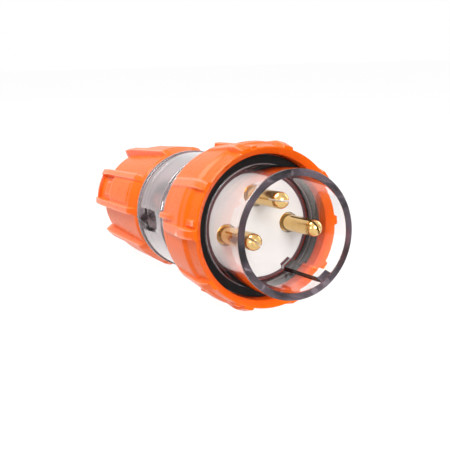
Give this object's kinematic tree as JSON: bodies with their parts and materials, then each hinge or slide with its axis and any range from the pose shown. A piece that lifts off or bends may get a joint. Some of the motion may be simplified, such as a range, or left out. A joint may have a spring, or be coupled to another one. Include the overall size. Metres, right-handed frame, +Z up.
{
  "type": "industrial plug",
  "caption": "Straight weatherproof cable plug: split round pins in a clear keyed shroud, a captive orange locking ring, a clear barrel and an orange ribbed gland cap.",
  "frame": {"origin": "on the plug's axis, in the plane of the front seal's face, where the socket's rim stops", "axes": "-Y along the axis, the way the contact pins point; +Z up as the plug lies on its ring and cap; +X to the right seen from the front"},
  "size_m": [0.0668, 0.1515, 0.0649],
  "materials": {
    "clear_shell": "clear polycarbonate with a faint smoky lilac tint",
    "orange_moulding": "orange moulding, satin gloss",
    "black_clip": "black moulding",
    "black_rubber": "matt black rubber",
    "white_moulding": "white moulding, satin gloss",
    "grey_moulding": "grey moulding",
    "brass_contact": "turned brass",
    "steel_screw": "plated steel"
  },
  "bodies": {
    "plug": {"plug_body": "clear_shell", "gland_cap": "orange_moulding", "front_seal": "black_rubber", "cap_seal": "black_rubber", "cable_bush": "black_rubber", "contact_carrier": "white_moulding", "pin_plate": "grey_moulding", "cord_clamp_bar": "grey_moulding", "gland_seat": "white_moulding", "slip_washer": "white_moulding", "active_pin": "brass_contact", "neutral_pin": "brass_contact", "earth_pin": "brass_contact", "active_terminal_screws": "steel_screw", "neutral_terminal_screws": "steel_screw", "earth_terminal_screws": "steel_screw", "plate_screws": "steel_screw", "clamp_screws": "steel_screw", "cap_lock_screw": "steel_screw", "insert_snap_ring": "steel_screw"},
    "retainer": {"ring_retainer": "black_clip"},
    "ring": {"locking_ring": "orange_moulding"}
  },
  "joints": [
    {"name": "ring_slide", "type": "slide", "parent": "plug", "child": "retainer", "axis": [0, -1, 0], "range_m": [0, 0.0088]},
    {"name": "ring_turn", "type": "hinge", "parent": "retainer", "child": "ring", "pos_m": [0, 0, 0], "axis": [0, -1, 0], "continuous": true}
  ]
}
